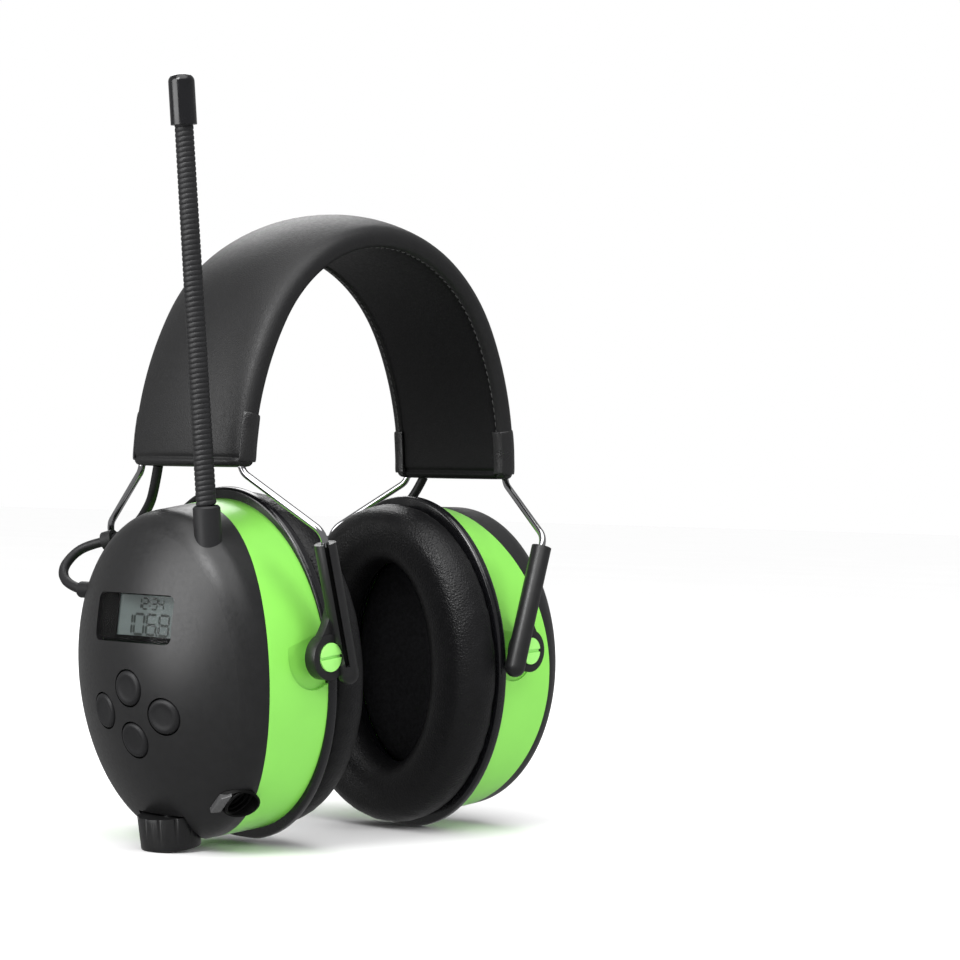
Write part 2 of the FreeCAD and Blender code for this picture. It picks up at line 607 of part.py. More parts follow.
def front_arm():
    """A tube that slides on the wire's leg, with an eye for the pivot pin."""
    top, low = leg_point(TUBE_TOP), leg_point(TUBE_BOTTOM)
    lift = Y_AXIS * -LEG_Y
    tube = cylinder(TUBE_R, tuple(low + lift), tuple(top + lift))
    end = Part.makeSphere(TUBE_R, low + lift)
    high = leg_point(21.0)
    eye_top = V(PIN_X + EYE_R * math.cos(1.0), 0, PIN_Z + EYE_R * math.sin(1.0))
    eye_low = V(PIN_X + 1, 0, PIN_Z - EYE_R + 0.1)
    hollow = (high + eye_top) * 0.5 + V(-1.5, 0, -1.2)
    outline = [Part.Arc(high, hollow, eye_top).toShape(),
               Part.LineSegment(eye_top, eye_low).toShape(),
               Part.LineSegment(eye_low, low).toShape(),
               Part.LineSegment(low, high).toShape()]
    web = Part.Face(Part.Wire(outline)).extrude(Y_AXIS * (ARM_T - 1.0))
    web.translate(Y_AXIS * (0.5 - ARM_IN_Y - ARM_T))
    eye = cylinder(EYE_R, (PIN_X, -ARM_IN_Y, PIN_Z), (PIN_X, -ARM_IN_Y - ARM_T, PIN_Z))
    body = fuse([tube, end, web, eye])
    bore = cylinder(WIRE_R + 0.1, tuple(leg_point(TUBE_TOP - 39.0) + lift),
                    tuple(leg_point(TUBE_TOP + 2) + lift))
    slot = box((-SLOT_W / 2, -TUBE_R - 1, -37.5), (SLOT_W / 2, -0.2, 5.0))
    slot.rotate(V(0, 0, 0), Z_AXIS, SLOT_TURN)
    slot.rotate(V(0, 0, 0), Y_AXIS, LEG_LEAN)
    slot.translate(top + lift)
    hole = cylinder(PIN_R + FIT, (PIN_X, -40, PIN_Z), (PIN_X, -55, PIN_Z))
    seat_y = ARM_IN_Y + ARM_T - 0.9
    seat = cylinder(PIN_HEAD_R + 0.15, (PIN_X, -seat_y, PIN_Z), (PIN_X, -55, PIN_Z))
    return body.cut([bore, slot, hole, seat])


def cord_clip():
    """A ring beside the rear arm's top that the cord is threaded through."""
    along = (V(*UPPER_CORD[1]) - V(*LOWER_CORD[-2])).normalize()
    middle = V(*UPPER_CORD[0])
    ring = cylinder(CLIP_R, tuple(middle - along * 1.8), tuple(middle + along * 1.8))
    ring = ring.cut(cylinder(CORD_R + 0.45, tuple(middle - along * 3), tuple(middle + along * 3)))
    axis_point = leg_point(UPPER_CORD[0][2] - PIN_Z)
    return ring.cut(cylinder(TUBE_R + 0.01, (axis_point.x - 12 * math.tan(math.radians(LEG_LEAN)),
                                             LEG_Y, axis_point.z - 12),
                             (axis_point.x + 12 * math.tan(math.radians(LEG_LEAN)),
                              LEG_Y, axis_point.z + 12)))


def main():
    os.makedirs("parts", exist_ok=True)

    for side, name in ((-1, "left"), (1, "right")):
        export("wire_spreader_" + name, wire_spreader(side))
    cover, foam = headband_parts()
    export("headband_cover", cover)
    export("headband_foam", foam)
    export("spring_wire_front", spring_wire(-1))
    export("spring_wire_rear", spring_wire(1))

    upper = cord("upper cord", UPPER_CORD)
    front = front_arm()
    for side, name in ((-1, "left"), (1, "right")):
        export("arm_" + name + "_front", on_side(front, side))
        export("arm_" + name + "_rear", on_side(front.mirror(V(0, 0, 0), Y_AXIS), side))
        export("cord_clip_" + name, on_side(cord_clip(), side))
        route = [cup_point(x, y, z, side) for x, y, z in CORD_EXIT] + LOWER_CORD
        export("cord_lower_" + name, on_side(cord("lower cord " + name, route), side))
        export("cord_upper_" + name, on_side(upper, side))
        pieces = {"cup_shell_": shell(side), "cushion_flange_": flange(), "ear_cushion_": cushion(),
                  "speaker_": speaker(), "speaker_ring_": speaker_ring(), "foam_insert_": foam_insert(),
                  "cup_screws_": cup_screws(), "cord_grommet_": grommet()}
        for piece, shape in pieces.items():
            export(piece + name, on_cup(shape, side))
        export("pivot_pin_" + name + "_front", on_cup(pivot_pin(-1), side))
        export("pivot_pin_" + name + "_rear", on_cup(pivot_pin(1), side))

    radio = {"radio_cover": radio_cover(), "display_lens": display_lens(), "lcd_panel": lcd_panel(),
             "circuit_board": circuit_board(), "tact_switches": tact_switches(),
             "button_pad": button_pad(), "volume_knob": volume_knob(), "pot_shaft": pot_shaft(),
             "volume_pot": volume_pot(), "aux_jack": aux_jack(), "antenna_collar": antenna_collar(),
             "antenna_rod": antenna_rod(), "antenna_cap": antenna_cap()}
    for place, (y, z) in button_places().items():
        radio["button_" + place] = button(y, z)
    for name, shape in radio.items():
        export(name, on_cup(shape, -1))

    battery = {"battery_cover": battery_cover(), "battery_door": battery_door(),
               "battery_tray": battery_tray(), "battery_cells": battery_cells(),
               "battery_contacts": battery_contacts()}
    for name, shape in battery.items():
        export(name, on_cup(shape, 1))


main()
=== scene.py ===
import math
import bpy
from mathutils import Matrix, Vector
from mathutils.bvhtree import BVHTree


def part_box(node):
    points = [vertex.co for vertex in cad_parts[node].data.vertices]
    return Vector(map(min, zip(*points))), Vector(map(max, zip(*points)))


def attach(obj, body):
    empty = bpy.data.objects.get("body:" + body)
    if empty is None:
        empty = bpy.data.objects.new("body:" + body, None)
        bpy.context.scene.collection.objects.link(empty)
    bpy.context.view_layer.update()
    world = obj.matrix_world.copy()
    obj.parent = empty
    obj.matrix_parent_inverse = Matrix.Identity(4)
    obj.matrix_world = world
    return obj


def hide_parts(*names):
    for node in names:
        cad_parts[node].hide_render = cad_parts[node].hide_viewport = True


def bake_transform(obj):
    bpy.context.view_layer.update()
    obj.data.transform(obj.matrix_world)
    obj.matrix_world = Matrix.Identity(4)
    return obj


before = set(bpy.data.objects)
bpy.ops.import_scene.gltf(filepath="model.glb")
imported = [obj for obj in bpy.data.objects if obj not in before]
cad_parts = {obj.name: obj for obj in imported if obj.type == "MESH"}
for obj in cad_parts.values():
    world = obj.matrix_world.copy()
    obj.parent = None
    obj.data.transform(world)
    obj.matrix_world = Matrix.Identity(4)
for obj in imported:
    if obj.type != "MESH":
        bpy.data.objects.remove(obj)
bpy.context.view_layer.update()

MM = 0.001

# Where each cup hangs: its pivot, and how far it is tilted
PIVOT_X, PIVOT_Z = 46.0 * MM, 60.2 * MM
CUP_MIDDLE_Z = -5.6 * MM
CUP_TURN = {"left": -7.0, "right": -3.0}
OUTWARD = {"left": -1, "right": 1}

# The arms: their lean, their middle line's distance out at pivot height, and their depth
ARM_LEAN = math.radians(16.7)
ARM_X, ARM_Y = 39.8, 47.6

# The headband's arch, as a line along its middle
BAND_END_Z, BAND_TOP_Z, BAND_X = 115.5 * MM, 190.5 * MM, 60.5 * MM
SIDE_R, TOP_R = 95.0 * MM, 55.24 * MM
JOIN_ANGLE = math.acos((SIDE_R - BAND_X) / (SIDE_R - TOP_R))
BAND_LENGTH = 2 * SIDE_R * JOIN_ANGLE + TOP_R * (math.pi - 2 * JOIN_ANGLE)

# The padded strap's section, in mm: half its width, and how far its crown stands at an end
BAND_HALF_W = 25.0
END_CROWN, CROWN_RISE = 4.8, 3.0


# ---------------------------------------------------------------- tools of the bench

def deselect():
    bpy.ops.object.select_all(action="DESELECT")


def take(piece):
    deselect()
    piece.select_set(True)
    bpy.context.view_layer.objects.active = piece


def begin(add, name, **place):
    """Adds a primitive and names it."""
    deselect()
    add(**place)
    piece = bpy.context.active_object
    piece.name = piece.data.name = name
    return piece


def edit(piece):
    take(piece)
    bpy.ops.object.mode_set(mode="EDIT")


def leave():
    bpy.ops.object.mode_set(mode="OBJECT")


def pick(piece, test):
    """Selects the faces whose middle and normal pass the test, in edit mode."""
    bpy.ops.mesh.select_all(action="DESELECT")
    leave()
    for face in piece.data.polygons:
        face.select = test(face.center, face.normal)
    bpy.ops.object.mode_set(mode="EDIT")
    bpy.ops.mesh.select_mode(type="FACE")


def apply_modifier(piece, kind, **settings):
    take(piece)
    step = piece.modifiers.new(kind.title(), kind)
    for key, value in settings.items():
        setattr(step, key, value)
    bpy.ops.object.modifier_apply(modifier=step.name)


def settle(piece):
    """Puts the piece's place into its mesh."""
    take(piece)
    bpy.ops.object.transform_apply(location=True, rotation=True, scale=True)


def face_outwards(piece, merge=0.02 * MM):
    edit(piece)
    bpy.ops.mesh.select_all(action="SELECT")
    bpy.ops.mesh.remove_doubles(threshold=merge)
    bpy.ops.mesh.normals_make_consistent(inside=False)
    leave()


def smooth(piece, angle=35.0):
    take(piece)
    bpy.ops.object.shade_smooth_by_angle(angle=math.radians(angle))


def copy_of(piece, name):
    twin = piece.copy()
    twin.data = piece.data.copy()
    twin.name = twin.data.name = name
    bpy.context.scene.collection.objects.link(twin)
    return twin


def join(pieces, name):
    deselect()
    for piece in pieces:
        piece.select_set(True)
    bpy.context.view_layer.objects.active = pieces[0]
    bpy.ops.object.join()
    pieces[0].name = pieces[0].data.name = name
    return pieces[0]


def onto_cup(piece, side):
    """Takes a piece from a cup's own frame, with x to the right, to its place."""
    piece.rotation_euler = (0, math.radians(CUP_TURN[side]), 0)
    piece.location = (OUTWARD[side] * PIVOT_X, 0, PIVOT_Z)
    settle(piece)
    return piece


def dress(piece, finish, body=None, stands_for=()):
    piece.data.materials.clear()
    piece.data.materials.append(finish)
    if body:
        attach(piece, body)
    if stands_for:
        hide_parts(*stands_for)


def oval_rings(name, profile, count=96, closed_ring=False, cap=False):
    """Extrudes an oval ring through (half width, half height, x) steps, in a cup's frame."""
    half_w, half_h, x = profile[0]
    piece = begin(bpy.ops.mesh.primitive_circle_add, name, vertices=count, radius=1.0,
                  rotation=(0, math.pi / 2, 0))
    settle(piece)
    piece.scale = (1, half_w * MM, half_h * MM)
    piece.location = (x * MM, 0, CUP_MIDDLE_Z)
    settle(piece)
    edit(piece)
    bpy.ops.mesh.select_mode(type="VERT")
    bpy.ops.mesh.select_all(action="SELECT")
    if cap:
        bpy.ops.mesh.edge_face_add()
    for new_w, new_h, new_x in profile[1:]:
        bpy.ops.mesh.extrude_region_move(
            TRANSFORM_OT_translate={"value": ((new_x - x) * MM, 0, 0)})
        bpy.ops.transform.resize(value=(1, new_w / half_w, new_h / half_h),
                                 center_override=(new_x * MM, 0, CUP_MIDDLE_Z))
        half_w, half_h, x = new_w, new_h, new_x
    if cap:
        leave()
    elif closed_ring:
        leave()
        edit(piece)
        bpy.ops.mesh.select_mode(type="EDGE")
        bpy.ops.mesh.select_all(action="DESELECT")
        bpy.ops.mesh.select_non_manifold()
        bpy.ops.mesh.bridge_edge_loops()
        leave()
    face_outwards(piece)
    return piece


# ---------------------------------------------------------------- finishes

def finish(name, colour, rough, grain=0.4, depth=0.02, cells=False, cloudy=0.12, rough_spread=0.08,
           metal=0.0, coat=0.0, specular=0.5, cloud_size=14.0, second=0.0, alpha=1.0):
    """A moulded or sewn surface: its colour drifts, its grain raises it, its roughness varies.

    Grain, clouds and depths are in mm, cells makes the grain leathery, and second adds soft dents.
    """
    skin = bpy.data.materials.new(name)
    skin.use_nodes = True
    nodes, links = skin.node_tree.nodes, skin.node_tree.links
    shader = nodes["Principled BSDF"]
    place = nodes.new("ShaderNodeTexCoord")

    def noise(size, detail=2.0):
        node = nodes.new("ShaderNodeTexNoise")
        node.inputs["Scale"].default_value = 1000.0 / size
        node.inputs["Detail"].default_value = detail
        links.new(place.outputs["Object"], node.inputs["Vector"])
        return node.outputs["Fac"]

    def spread(value, low, high):
        node = nodes.new("ShaderNodeMapRange")
        node.inputs["From Min"].default_value = 0.3
        node.inputs["From Max"].default_value = 0.7
        node.inputs["To Min"].default_value = low
        node.inputs["To Max"].default_value = high
        links.new(value, node.inputs["Value"])
        return node.outputs["Result"]

    drift = nodes.new("ShaderNodeValToRGB")
    drift.color_ramp.elements[0].position = 0.3
    drift.color_ramp.elements[1].position = 0.7
    drift.color_ramp.elements[0].color = [c * (1 - cloudy) for c in colour] + [1]
    drift.color_ramp.elements[1].color = [min(1, c * (1 + cloudy)) for c in colour] + [1]
    links.new(noise(cloud_size, 4.0), drift.inputs["Fac"])
    links.new(drift.outputs["Color"], shader.inputs["Base Color"])
    links.new(spread(noise(cloud_size * 0.35, 5.0), max(0.02, rough - rough_spread), rough + rough_spread),
              shader.inputs["Roughness"])
    if cells:
        raised = nodes.new("ShaderNodeTexVoronoi")
        raised.feature = "DISTANCE_TO_EDGE"
        raised.inputs["Scale"].default_value = 1000.0 / grain
        links.new(place.outputs["Object"], raised.inputs["Vector"])
        height = spread(raised.outputs["Distance"], 0.0, 1.0)
        height.node.inputs["From Min"].default_value = 0.0
        height.node.inputs["From Max"].default_value = 0.35
    else:
        height = noise(grain, 3.0)
    bump = nodes.new("ShaderNodeBump")
    bump.inputs["Strength"].default_value = 0.6
    bump.inputs["Distance"].default_value = depth * MM
    links.new(height, bump.inputs["Height"])
    if second:
        soft = nodes.new("ShaderNodeBump")
        soft.inputs["Strength"].default_value = 0.5
        soft.inputs["Distance"].default_value = second * MM
        links.new(noise(9.0, 3.0), soft.inputs["Height"])
        links.new(soft.outputs["Normal"], bump.inputs["Normal"])
    links.new(bump.outputs["Normal"], shader.inputs["Normal"])
    shader.inputs["Metallic"].default_value = metal
    shader.inputs["Coat Weight"].default_value = coat
    shader.inputs["Coat Roughness"].default_value = 0.1
    shader.inputs["Specular IOR Level"].default_value = specular
    shader.inputs["Alpha"].default_value = alpha
    return skin


SATIN_BLACK = finish("satin_black_plastic", (0.008, 0.008, 0.0085), 0.38, grain=0.35, depth=0.008,
                     specular=0.42, rough_spread=0.05, cloud_size=3.0)
MATT_BLACK = finish("matt_black_plastic", (0.009, 0.009, 0.010), 0.55, grain=0.5, depth=0.02,
                    specular=0.3)
GLOSS_BLACK = finish("gloss_black_plastic", (0.005, 0.005, 0.006), 0.22, grain=2.0, depth=0.01,
                     coat=0.25, specular=0.4)
BUTTON_BLACK = finish("button_black", (0.007, 0.007, 0.008), 0.5, grain=0.4, depth=0.02,
                      specular=0.3)
LIME_GREEN = finish("lime_green_plastic", (0.205, 0.575, 0.08), 0.32, grain=6.0, depth=0.002,
                    cloudy=0.02, rough_spread=0.03, coat=0.1, specular=0.4)
PIN_GREEN = finish("pin_green_plastic", (0.27, 0.66, 0.14), 0.38, grain=0.8, depth=0.01, cloudy=0.04)
LEATHERETTE = finish("headband_leatherette", (0.008, 0.008, 0.0085), 0.48, grain=0.75, depth=0.05,
                     cells=True, second=0.04, rough_spread=0.05, specular=0.34, cloudy=0.08,
                     cloud_size=3.0)
LINING = finish("headband_lining", (0.005, 0.005, 0.0055), 0.5, grain=0.55, depth=0.05, cells=True,
                second=0.08, rough_spread=0.05, specular=0.14, cloudy=0.08, cloud_size=3.0)
TAB_SKIN = finish("edge_tab_leatherette", (0.010, 0.010, 0.0105), 0.33, grain=0.9, depth=0.06,
                  cells=True, second=0.15, specular=0.4)
THREAD = finish("stitch_thread", (0.05, 0.05, 0.05), 0.7, grain=0.25, depth=0.05, specular=0.3)
CUSHION_SKIN = finish("cushion_skin", (0.005, 0.005, 0.0055), 0.38, grain=0.95, depth=0.12,
                      cells=True, second=0.05, rough_spread=0.05, specular=0.24, cloud_size=3.0)
DARK_FOAM = finish("dark_foam", (0.007, 0.007, 0.008), 0.95, grain=0.7, depth=0.4, cloudy=0.4,
                   specular=0.15, cloud_size=1.2)
CHROME = finish("chrome_wire", (0.41, 0.41, 0.42), 0.1, grain=0.6, depth=0.003, metal=1.0,
                cloudy=0.05, rough_spread=0.05)
NICKEL = finish("nickel", (0.55, 0.52, 0.45), 0.25, grain=0.8, depth=0.01, metal=1.0)
STEEL = finish("zinc_steel", (0.42, 0.42, 0.43), 0.32, grain=0.6, depth=0.01, metal=1.0)
CORD_RUBBER = finish("cord_rubber", (0.007, 0.007, 0.008), 0.5, grain=0.5, depth=0.03, specular=0.3)
ANTENNA_RUBBER = finish("antenna_rubber", (0.010, 0.010, 0.011), 0.5, grain=0.4, depth=0.03,
                        specular=0.35)
CAP_RUBBER = finish("cap_rubber", (0.005, 0.005, 0.006), 0.2, grain=1.5, depth=0.01, specular=0.45)
BOARD_GREEN = finish("board_green", (0.01, 0.09, 0.03), 0.4, grain=0.8, depth=0.03)
CELL_WRAP = finish("cell_wrap", (0.30, 0.16, 0.03), 0.3, grain=1.0, depth=0.01, metal=0.6)
WINDOW = finish("display_window", (0.02, 0.02, 0.02), 0.08, grain=6.0, depth=0.0004, alpha=0.1,
                rough_spread=0.01, specular=0.25)
LCD_GLASS = finish("display_grey_green", (0.125, 0.155, 0.15), 0.35, grain=2.0, depth=0.003,
                   cloudy=0.08, rough_spread=0.05)
# Black with no shine: the thin border is the display's own print; the wide part at its left is painted
# shade of the window's inner wall.
BORDER_AND_SHADE_BLACK = finish("display_border_and_painted_shade", (0.006, 0.006, 0.006), 0.5, grain=2.0, depth=0.0005,
                      specular=0.0)
# Near-lightless black with little shine: the socket sleeve's own black, deepened as painted shade for the
# deep hole; on the arm pieces it is all painted shade inside the slots.
SOCKET_AND_SHADE_BLACK = finish("socket_black_and_painted_shade", (0.003, 0.003, 0.003), 0.55, grain=0.5, depth=0.01,
                      specular=0.1)
# Painted light: the lip is painted grey, far lighter than the black cover, for the light falling on its
# slanted face.
PAINTED_LIGHT_GREY = finish("socket_lip_painted_light", (0.06, 0.06, 0.061), 0.3, grain=0.5, depth=0.01,
                    specular=0.5)
LCD_INK = finish("display_ink", (0.02, 0.028, 0.025), 0.4, grain=1.0, depth=0.002)

KEPT = {
    SATIN_BLACK: ["radio_cover", "battery_cover", "battery_door", "volume_knob", "aux_jack",
                  "arm_left_front", "arm_left_rear", "arm_right_front", "arm_right_rear"],
    MATT_BLACK: ["wire_spreader_left", "wire_spreader_right", "battery_tray", "tact_switches",
                 "speaker_left", "speaker_right", "speaker_ring_left", "speaker_ring_right",
                 "cord_clip_left", "cord_clip_right"],
    GLOSS_BLACK: ["cushion_flange_left", "cushion_flange_right"],
    BUTTON_BLACK: ["button_top", "button_bottom", "button_front", "button_rear", "button_pad"],
    LIME_GREEN: ["cup_shell_left", "cup_shell_right"],
    PIN_GREEN: ["pivot_pin_left_front", "pivot_pin_left_rear", "pivot_pin_right_front",
                "pivot_pin_right_rear"],
    CHROME: ["spring_wire_front", "spring_wire_rear"],
    NICKEL: ["battery_contacts"],
    STEEL: ["cup_screws_left", "cup_screws_right", "volume_pot", "pot_shaft"],
    CORD_RUBBER: ["cord_grommet_left", "cord_grommet_right"],
    ANTENNA_RUBBER: ["antenna_collar"],
    CAP_RUBBER: ["antenna_cap"],
    BOARD_GREEN: ["circuit_board"],
    CELL_WRAP: ["battery_cells"],
    WINDOW: ["display_lens"],
    LCD_GLASS: ["lcd_panel"],
}


def repaint_kept_nodes():
    for skin, names in KEPT.items():
        for name in names:
            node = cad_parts[name]
            if not node.material_slots:
                node.data.materials.append(skin)
            for place in node.material_slots:
                place.material = skin


def round_edges(name, width, body, skin, angle=32.0, segments=3):
    """A copy of a moulded part with its doubles merged and its sharp edges rounded."""
    piece = copy_of(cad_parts[name], name + "_moulded")
    piece.parent = None
    for key in list(piece.keys()):
        del piece[key]
    edit(piece)
    bpy.ops.mesh.customdata_custom_splitnormals_clear()
    bpy.ops.mesh.select_all(action="SELECT")
    bpy.ops.mesh.remove_doubles(threshold=0.005 * MM)
    bpy.ops.mesh.select_all(action="SELECT")
    bpy.ops.mesh.dissolve_limited(angle_limit=math.radians(1.0))
    leave()
    apply_modifier(piece, "BEVEL", width=width * MM, segments=segments, limit_method="ANGLE",
                   angle_limit=math.radians(angle), use_clamp_overlap=True)
    smooth(piece, 40)
    dress(piece, skin, body, (name,))


BUTTON_R, BUTTON_CORNERS = 5.35, 48
BUTTON_RINGS = ((BUTTON_R, 3.2), (BUTTON_R, 1.15), (5.25, 0.62), (4.98, 0.25), (4.5, 0.05), (4.0, 0.0),
                (3.4, 0.22), (2.4, 0.34), (1.2, 0.38), (0.3, 0.38))
HOLE_R = 5.1


def make_button(name):
    """A rubber button whose top follows the cover's dome, with a soft rim and a shallow dish."""
    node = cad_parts["button_" + name]
    turn = Matrix.Rotation(math.radians(CUP_TURN["left"]), 4, "Y")
    to_cup = (Matrix.Translation((-PIVOT_X, 0, PIVOT_Z)) @ turn).inverted()
    corners = [to_cup @ corner.co for corner in node.data.vertices]
    surface = BVHTree.FromPolygons(corners, [tuple(face.vertices) for face in node.data.polygons])
    low, high = (Vector(f(c[axis] for c in corners) for axis in range(3)) for f in (min, max))
    middle_y, middle_z = (low.y + high.y) / 2, (low.z + high.z) / 2
    button = begin(bpy.ops.mesh.primitive_circle_add, "button_%s_moulded" % name,
                   vertices=BUTTON_CORNERS, radius=BUTTON_R * MM, rotation=(0, math.pi / 2, 0))
    settle(button)
    edit(button)
    bpy.ops.mesh.select_mode(type="VERT")
    bpy.ops.mesh.select_all(action="SELECT")
    bpy.ops.mesh.edge_face_add()
    for ring in BUTTON_RINGS[1:]:
        bpy.ops.mesh.extrude_region_move(TRANSFORM_OT_translate={"value": (-1 * MM, 0, 0)})
    leave()
    for index, corner in enumerate(button.data.vertices):
        radius, sunk = BUTTON_RINGS[index // BUTTON_CORNERS]
        angle = math.atan2(corner.co.z, corner.co.y)
        y = middle_y + radius * MM * math.cos(angle)
        z = middle_z + radius * MM * math.sin(angle)
        reach = min(radius, HOLE_R) * MM
        hit = surface.ray_cast(Vector((low.x - 20 * MM, middle_y + reach * math.cos(angle),
                                       middle_z + reach * math.sin(angle))), Vector((1, 0, 0)))[0]
        corner.co = (hit.x + sunk * MM, y, z)
    face_outwards(button, merge=0.001 * MM)
    onto_cup(button, "left")
    smooth(button, 50)
    dress(button, BUTTON_BLACK, name + "_button", ("button_" + name,))


def round_moulded_parts():
    for name in ("top", "bottom", "front", "rear"):
        make_button(name)
    round_edges("volume_knob", 0.25, "knob", SATIN_BLACK, 30.0, 2)
    round_edges("battery_door", 0.3, "door", SATIN_BLACK, 45.0, 2)
    for side in ("left", "right"):
        round_edges("cushion_flange_" + side, 0.9, side + "_cup", GLOSS_BLACK, 40.0)
        for end in ("front", "rear"):
            round_edges("arm_%s_%s" % (side, end), 0.35, side + "_yoke", SATIN_BLACK,
                        35.0, 2)
            round_edges("pivot_pin_%s_%s" % (side, end), 0.2, side + "_cup", PIN_GREEN,
                        40.0, 2)


# ---------------------------------------------------------------- headband

def arch_point(angle):
    """A point of the band's middle line and its outward direction, by the angle of that direction."""
    if angle > math.pi / 2:
        point, out = arch_point(math.pi - angle)
        return Vector((-point.x, point.y, 0)), Vector((-out.x, out.y, 0))
    out = Vector((math.cos(angle), math.sin(angle), 0))
    if angle < JOIN_ANGLE:
        return Vector((BAND_X - SIDE_R, BAND_END_Z, 0)) + out * SIDE_R, out
    return Vector((0, BAND_TOP_Z - TOP_R, 0)) + out * TOP_R, out


def arch_curve():
    """The flat curve that the straight strap is bent along, from the left end to the right."""
    top = math.pi - 2 * JOIN_ANGLE
    angles = [0, JOIN_ANGLE / 2, JOIN_ANGLE] + [JOIN_ANGLE + top * k / 4 for k in (1, 2, 3, 4)]
    angles += [math.pi - JOIN_ANGLE / 2, math.pi]
    angles = angles[::-1]
    line = bpy.data.curves.new("arch", "CURVE")
    line.dimensions = "2D"
    line.resolution_u = 24
    spline = line.splines.new("BEZIER")
    spline.bezier_points.add(len(angles) - 1)
    for index, angle in enumerate(angles):
        point, out = arch_point(angle)
        ahead = Vector((out.y, -out.x, 0))
        knot = spline.bezier_points[index]
        knot.co = point
        knot.handle_left_type = knot.handle_right_type = "FREE"
        for way, neighbour in ((-1, index - 1), (1, index + 1)):
            if 0 <= neighbour < len(angles):
                turn = abs(angles[neighbour] - angle)
                middle = (angles[neighbour] + angle) / 2
                on_side = min(middle, math.pi - middle) < JOIN_ANGLE
                reach = (SIDE_R if on_side else TOP_R) * 4 / 3 * math.tan(turn / 4)
            else:
                reach = 5 * MM
            if way < 0:
                knot.handle_left = point - ahead * reach
            else:
                knot.handle_right = point + ahead * reach
    arch = bpy.data.objects.new("arch", line)
    bpy.context.scene.collection.objects.link(arch)
    return arch


def bend_over_head(piece, arch):
    """Bends a straight piece along the arch and stands it up."""
    apply_modifier(piece, "CURVE", object=arch, deform_axis="POS_X")
    piece.rotation_euler = (math.pi / 2, 0, 0)
    settle(piece)


def crown_at(x):
    """How far the padding's crown stands above the band's middle line, in mm."""
    turn = max(0.0, min(1.0, x / BAND_LENGTH))
    return END_CROWN + CROWN_RISE * math.sin(math.pi * turn)


def strap_section(crown, narrow):
    """Half of the padded strap's outline, from the lining's middle to the crown, as (y, z) in mm."""
    half = BAND_HALF_W - narrow
    lining = [(-3.75, 0), (-3.75, 9), (-3.7, 16), (-3.45, half - 4.6), (-3.2, half - 4.1)]
    seam = [(-2.5, half - 3.75), (-3.35, half - 3.4), (-3.85, half - 2.6)]
    edge = [(-3.6, half - 1.1), (-2.5, half - 0.15), (-1.0, half + 0.25), (0.5, half + 0.1)]
    shoulder = 1.9 + 0.12 * (crown - END_CROWN)
    rim = [(shoulder, half - 0.9), (shoulder + 1.05, half - 2.6)]
    over = []
    for z in (19.0, 15.0, 10.5, 5.5, 0.0):
        rise = 1 - (z / (half - 2.6)) ** 2.2
        over.append((shoulder + 1.05 + (crown - shoulder - 1.05) * rise, z))
    return lining + seam + edge + rim + over


def whole_outline(crown, narrow=0.0, shrink=1.0):
    half = strap_section(crown, narrow)
    loop = half + [(y, -z) for y, z in half[-2:0:-1]]
    return [(y * shrink, z) for y, z in loop]


def padded_strap(arch):
    """The sewn cover: a strap extruded in steps, each step set to the padding's outline there."""
    stations = [(0.0, 2.4, 0.66), (0.4, 1.3, 0.88), (1.3, 0.5, 1.0), (2.1, 0.3, 1.0),
                (2.7, 0.7, 0.80), (3.4, 0.15, 0.99), (4.4, 0.05, 1.0)]
    length = BAND_LENGTH / MM
    inner_steps = 60
    middle = [(6.0 + (length - 12.0) * k / inner_steps, 0.0, 1.0) for k in range(inner_steps + 1)]
    stations = stations + middle + [(length - x, n, k) for x, n, k in reversed(stations)]
    outline = whole_outline(crown_at(0))
    piece = begin(bpy.ops.mesh.primitive_circle_add, "headband_padded_cover", vertices=len(outline),
                  radius=0.02, rotation=(0, math.pi / 2, 0))
    settle(piece)
    edit(piece)
    bpy.ops.mesh.select_mode(type="VERT")
    bpy.ops.mesh.select_all(action="SELECT")
    bpy.ops.mesh.edge_face_add()
    for index in range(1, len(stations)):
        ahead = (stations[index][0] - stations[index - 1][0]) * MM
        bpy.ops.mesh.extrude_region_move(TRANSFORM_OT_translate={"value": (ahead, 0, 0)})
    leave()
    count = len(outline)
    for index, (x, narrow, shrink) in enumerate(stations):
        section = whole_outline(crown_at(x * MM), narrow, shrink)
        for step, (y, z) in enumerate(section):
            piece.data.vertices[index * count + step].co = (x * MM, y * MM, z * MM)
    face_outwards(piece)
    apply_modifier(piece, "SUBSURF", levels=1, render_levels=1)
    bend_over_head(piece, arch)
    smooth(piece, 60)
    return piece


def is_lining(flat, across, normal):
    """True on the band's inner face, between its two seams."""
    towards = Vector((0, BAND_END_Z, 0)) - flat
    inwards = normal.x * towards.x + normal.z * towards.y
    return inwards > 0.5 * towards.length and abs(across) < 21.2 * MM


def make_stitches(arch):
    """Two rows of short threads, one along each edge of the lining."""
    length = BAND_LENGTH / MM
    pitch = 2.6
    for name, edge in (("front", 22.0), ("rear", -22.0)):
        thread = begin(bpy.ops.mesh.primitive_cylinder_add, "band_stitches_" + name, vertices=8,
                       radius=0.2 * MM, depth=1.7 * MM, rotation=(0, math.pi / 2, 0.12))
        settle(thread)
        edit(thread)
        pick(thread, lambda middle, normal: abs(normal.x) > 0.8)
        bpy.ops.mesh.inset(thickness=0.08 * MM)
        bpy.ops.mesh.bevel(offset=0.07 * MM, segments=1)
        leave()
        face_outwards(thread, merge=0.001 * MM)
        thread.location = (3.6 * MM, -3.72 * MM, edge * MM)
        settle(thread)
        apply_modifier(thread, "ARRAY", count=int((length - 7.0) / pitch),
                       use_relative_offset=False, use_constant_offset=True,
                       constant_offset_displace=(pitch * MM, 0, 0))
        bend_over_head(thread, arch)
        smooth(thread, 50)
        dress(thread, THREAD, "headband")


